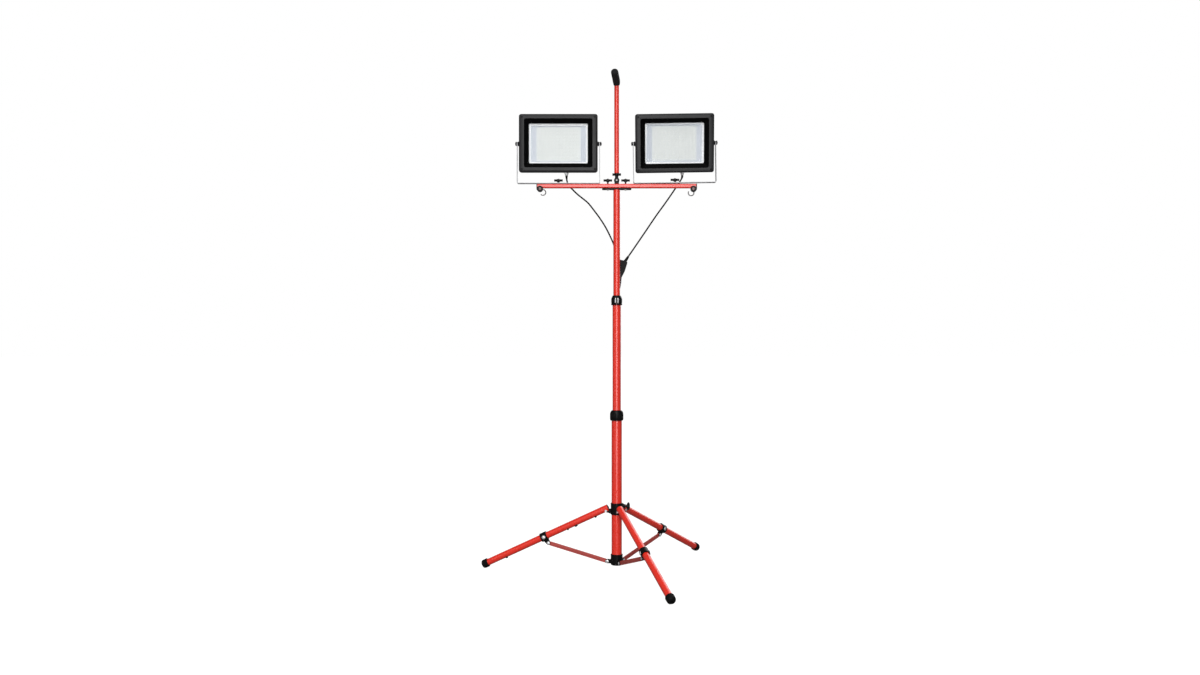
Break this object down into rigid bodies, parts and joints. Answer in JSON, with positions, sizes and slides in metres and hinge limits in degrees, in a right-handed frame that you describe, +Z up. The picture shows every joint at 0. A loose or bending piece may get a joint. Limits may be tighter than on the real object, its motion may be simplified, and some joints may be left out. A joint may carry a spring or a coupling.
{
  "type": "work light",
  "caption": "Twin flood lamps on swivelling yokes along a crossbar, carried by a telescopic mast on a folding tripod, with a crook handle and a mains cable.",
  "frame": {"origin": "centre of the footprint box on the floor", "axes": "+Z up the mast, -Y the way the lamps face, +X to the right seen from the front"},
  "size_m": [0.8591, 0.8515, 1.7984],
  "materials": {
    "red_enamel": "glossy red enamel",
    "strut_red": "satin red enamel",
    "black_plastic": "satin black",
    "black_rubber": "matt black",
    "grip_foam": "matt black foam",
    "charcoal_enamel": "charcoal powder coat on cast aluminium",
    "grey_steel": "light grey plated strip",
    "zinc": "zinc plated",
    "chrome": "bright",
    "reflector_white": "satin white",
    "tempered_glass": "clear",
    "cable_jacket": "satin black rubber"
  },
  "bodies": {
    "stand": {"lower_mast_tube": "red_enamel", "lower_hub": "black_plastic"},
    "tripod_hub": {"leg_hub": "black_plastic", "leg_pivot_pin_1": "zinc", "leg_pivot_pin_2": "zinc", "leg_pivot_pin_3": "zinc"},
    "hub_thumbscrew": {"hub_thumbscrew": "black_plastic"},
    "leg_1": {"leg_tube_1": "red_enamel", "foot_cap_1": "black_rubber", "leg_clamp_1": "black_plastic"},
    "leg_2": {"leg_tube_2": "red_enamel", "foot_cap_2": "black_rubber", "leg_clamp_2": "black_plastic"},
    "leg_3": {"leg_tube_3": "red_enamel", "foot_cap_3": "black_rubber", "leg_clamp_3": "black_plastic"},
    "strut_1": {"strut_1": "strut_red"},
    "strut_2": {"strut_2": "strut_red"},
    "strut_3": {"strut_3": "strut_red"},
    "lower_collar": {"lower_collar": "black_plastic"},
    "middle_mast": {"middle_mast_tube": "red_enamel"},
    "upper_collar": {"upper_collar": "black_plastic"},
    "head": {"top_mast_tube": "red_enamel", "crossbar_bracket": "black_plastic", "crossbar": "red_enamel", "crossbar_end_cap_left": "black_plastic", "crossbar_end_cap_right": "black_plastic", "handle_post": "black_plastic", "lamp_cable_left": "cable_jacket", "lamp_cable_right": "cable_jacket", "cable_splitter": "cable_jacket", "mains_lead": "cable_jacket", "mains_hank": "cable_jacket", "mains_plug": "cable_jacket"},
    "crossbar_knob_left": {"crossbar_knob_left": "black_plastic"},
    "crossbar_knob_right": {"crossbar_knob_right": "black_plastic"},
    "cable_hook_left": {"cable_hook_left": "chrome"},
    "cable_hook_right": {"cable_hook_right": "chrome"},
    "handle": {"handle_tube": "red_enamel", "handle_grip": "grip_foam"},
    "handle_lock_nut": {"handle_lock_nut": "black_plastic"},
    "yoke_left": {"yoke_left": "grey_steel"},
    "yoke_knob_left": {"yoke_knob_left": "black_plastic"},
    "lamp_left": {"housing_left": "charcoal_enamel", "bezel_left": "charcoal_enamel", "glass_left": "tempered_glass", "led_module_left": "reflector_white", "gland_left": "zinc"},
    "tilt_knob_left_inner": {"tilt_knob_left_inner": "black_plastic"},
    "tilt_knob_left_outer": {"tilt_knob_left_outer": "black_plastic"},
    "yoke_right": {"yoke_right": "grey_steel"},
    "yoke_knob_right": {"yoke_knob_right": "black_plastic"},
    "lamp_right": {"housing_right": "charcoal_enamel", "bezel_right": "charcoal_enamel", "glass_right": "tempered_glass", "led_module_right": "reflector_white", "gland_right": "zinc"},
    "tilt_knob_right_inner": {"tilt_knob_right_inner": "black_plastic"},
    "tilt_knob_right_outer": {"tilt_knob_right_outer": "black_plastic"}
  },
  "joints": [
    {"name": "hub_slide", "type": "slide", "parent": "stand", "child": "tripod_hub", "axis": [0, 0, 1], "range_m": [0, 0.27]},
    {"name": "leg_1_fold", "type": "hinge", "parent": "tripod_hub", "child": "leg_1", "pos_m": [0.02681, 0.04963, 0.2185], "axis": [-0.1288, -0.9917, 0], "range_deg": [0, 47]},
    {"name": "strut_1_fold", "type": "hinge", "parent": "leg_1", "child": "strut_1", "pos_m": [-0.18342, 0.07693, 0.0965], "axis": [0.1288, 0.9917, 0], "range_deg": [0, 105.8]},
    {"name": "leg_2_fold", "type": "hinge", "parent": "tripod_hub", "child": "leg_2", "pos_m": [0.08865, 0.07306, 0.2185], "axis": [-0.7536, 0.6574, 0], "range_deg": [0, 47]},
    {"name": "strut_2_fold", "type": "hinge", "parent": "leg_2", "child": "strut_2", "pos_m": [0.22802, 0.23281, 0.0965], "axis": [0.7536, -0.6574, 0], "range_deg": [0, 105.8]},
    {"name": "leg_3_fold", "type": "hinge", "parent": "tripod_hub", "child": "leg_3", "pos_m": [0.0767, 0.00952, 0.2185], "axis": [0.9409, 0.3387, 0], "range_deg": [0, 47]},
    {"name": "strut_3_fold", "type": "hinge", "parent": "leg_3", "child": "strut_3", "pos_m": [0.14852, -0.18995, 0.0965], "axis": [-0.9409, -0.3387, 0], "range_deg": [0, 105.8]},
    {"name": "hub_thumbscrew_turn", "type": "hinge", "parent": "tripod_hub", "child": "hub_thumbscrew", "pos_m": [0.10339, 0.03785, 0.236], "axis": [0.9848, -0.1736, 0], "range_deg": [0, 360]},
    {"name": "lower_collar_twist", "type": "hinge", "parent": "stand", "child": "lower_collar", "pos_m": [0.064, 0.0448, 0.562], "axis": [0, 0, 1], "range_deg": [0, 90]},
    {"name": "middle_mast_slide", "type": "slide", "parent": "stand", "child": "middle_mast", "axis": [0, 0, 1], "range_m": [-0.365, 0]},
    {"name": "upper_collar_twist", "type": "hinge", "parent": "middle_mast", "child": "upper_collar", "pos_m": [0.064, 0.0448, 0.977], "axis": [0, 0, 1], "range_deg": [0, 90]},
    {"name": "top_mast_slide", "type": "slide", "parent": "middle_mast", "child": "head", "axis": [0, 0, 1], "range_m": [-0.365, 0]},
    {"name": "crossbar_knob_left_turn", "type": "hinge", "parent": "head", "child": "crossbar_knob_left", "pos_m": [0.032, 0.0448, 1.408], "axis": [0, 0, 1], "range_deg": [0, 360]},
    {"name": "cable_hook_left_swing", "type": "hinge", "parent": "head", "child": "cable_hook_left", "pos_m": [-0.2115, 0.0344, 1.376], "axis": [0, 1, 0], "range_deg": [-40, 40]},
    {"name": "crossbar_knob_right_turn", "type": "hinge", "parent": "head", "child": "crossbar_knob_right", "pos_m": [0.096, 0.0448, 1.408], "axis": [0, 0, 1], "range_deg": [0, 360]},
    {"name": "cable_hook_right_swing", "type": "hinge", "parent": "head", "child": "cable_hook_right", "pos_m": [0.3395, 0.0344, 1.376], "axis": [0, 1, 0], "range_deg": [-40, 40]},
    {"name": "handle_turn", "type": "hinge", "parent": "head", "child": "handle", "pos_m": [0.064, 0.0448, 1.6], "axis": [0, 0, 1], "range_deg": [-180, 180]},
    {"name": "handle_lock_nut_turn", "type": "hinge", "parent": "head", "child": "handle_lock_nut", "pos_m": [0.064, 0.0448, 1.4306], "axis": [0, 0, 1], "range_deg": [0, 360]},
    {"name": "yoke_left_pan", "type": "hinge", "parent": "head", "child": "yoke_left", "pos_m": [-0.146, 0.0448, 1.3985], "axis": [0, 0, 1], "range_deg": [-45, 45], "deforming": ["lamp_cable_left"]},
    {"name": "yoke_knob_left_turn", "type": "hinge", "parent": "yoke_left", "child": "yoke_knob_left", "pos_m": [-0.146, 0.0448, 1.408], "axis": [0, 0, 1], "range_deg": [0, 360]},
    {"name": "lamp_left_tilt", "type": "hinge", "parent": "yoke_left", "child": "lamp_left", "pos_m": [-0.146, 0.0448, 1.541], "axis": [1, 0, 0], "range_deg": [-30, 60], "deforming": ["lamp_cable_left"]},
    {"name": "tilt_knob_left_inner_turn", "type": "hinge", "parent": "lamp_left", "child": "tilt_knob_left_inner", "pos_m": [0.006, 0.0448, 1.541], "axis": [1, 0, 0], "range_deg": [0, 180]},
    {"name": "tilt_knob_left_outer_turn", "type": "hinge", "parent": "lamp_left", "child": "tilt_knob_left_outer", "pos_m": [-0.298, 0.0448, 1.541], "axis": [1, 0, 0], "range_deg": [0, 180]},
    {"name": "yoke_right_pan", "type": "hinge", "parent": "head", "child": "yoke_right", "pos_m": [0.274, 0.0448, 1.4007], "axis": [0, 0, 1], "range_deg": [-45, 45], "deforming": ["lamp_cable_right"]},
    {"name": "yoke_knob_right_turn", "type": "hinge", "parent": "yoke_right", "child": "yoke_knob_right", "pos_m": [0.274, 0.0448, 1.4102], "axis": [0, 0, 1], "range_deg": [0, 360]},
    {"name": "lamp_right_tilt", "type": "hinge", "parent": "yoke_right", "child": "lamp_right", "pos_m": [0.27199, 0.0448, 1.54319], "axis": [0.9999, 0, 0.014], "range_deg": [-40, 50], "deforming": ["lamp_cable_right"]},
    {"name": "tilt_knob_right_inner_turn", "type": "hinge", "parent": "lamp_right", "child": "tilt_knob_right_inner", "pos_m": [0.12001, 0.0448, 1.54106], "axis": [0.9999, 0, 0.014], "range_deg": [0, 180]},
    {"name": "tilt_knob_right_outer_turn", "type": "hinge", "parent": "lamp_right", "child": "tilt_knob_right_outer", "pos_m": [0.42398, 0.0448, 1.54531], "axis": [0.9999, 0, 0.014], "range_deg": [0, 180]}
  ],
  "couplings": [
    {"joint": "leg_1_fold", "follows": "hub_slide", "rad_per_m": 2.9976},
    {"joint": "strut_1_fold", "follows": "hub_slide", "rad_per_m": 6.7756},
    {"joint": "leg_2_fold", "follows": "hub_slide", "rad_per_m": 2.9976},
    {"joint": "strut_2_fold", "follows": "hub_slide", "rad_per_m": 6.7756},
    {"joint": "leg_3_fold", "follows": "hub_slide", "rad_per_m": 2.9976},
    {"joint": "strut_3_fold", "follows": "hub_slide", "rad_per_m": 6.7756}
  ]
}
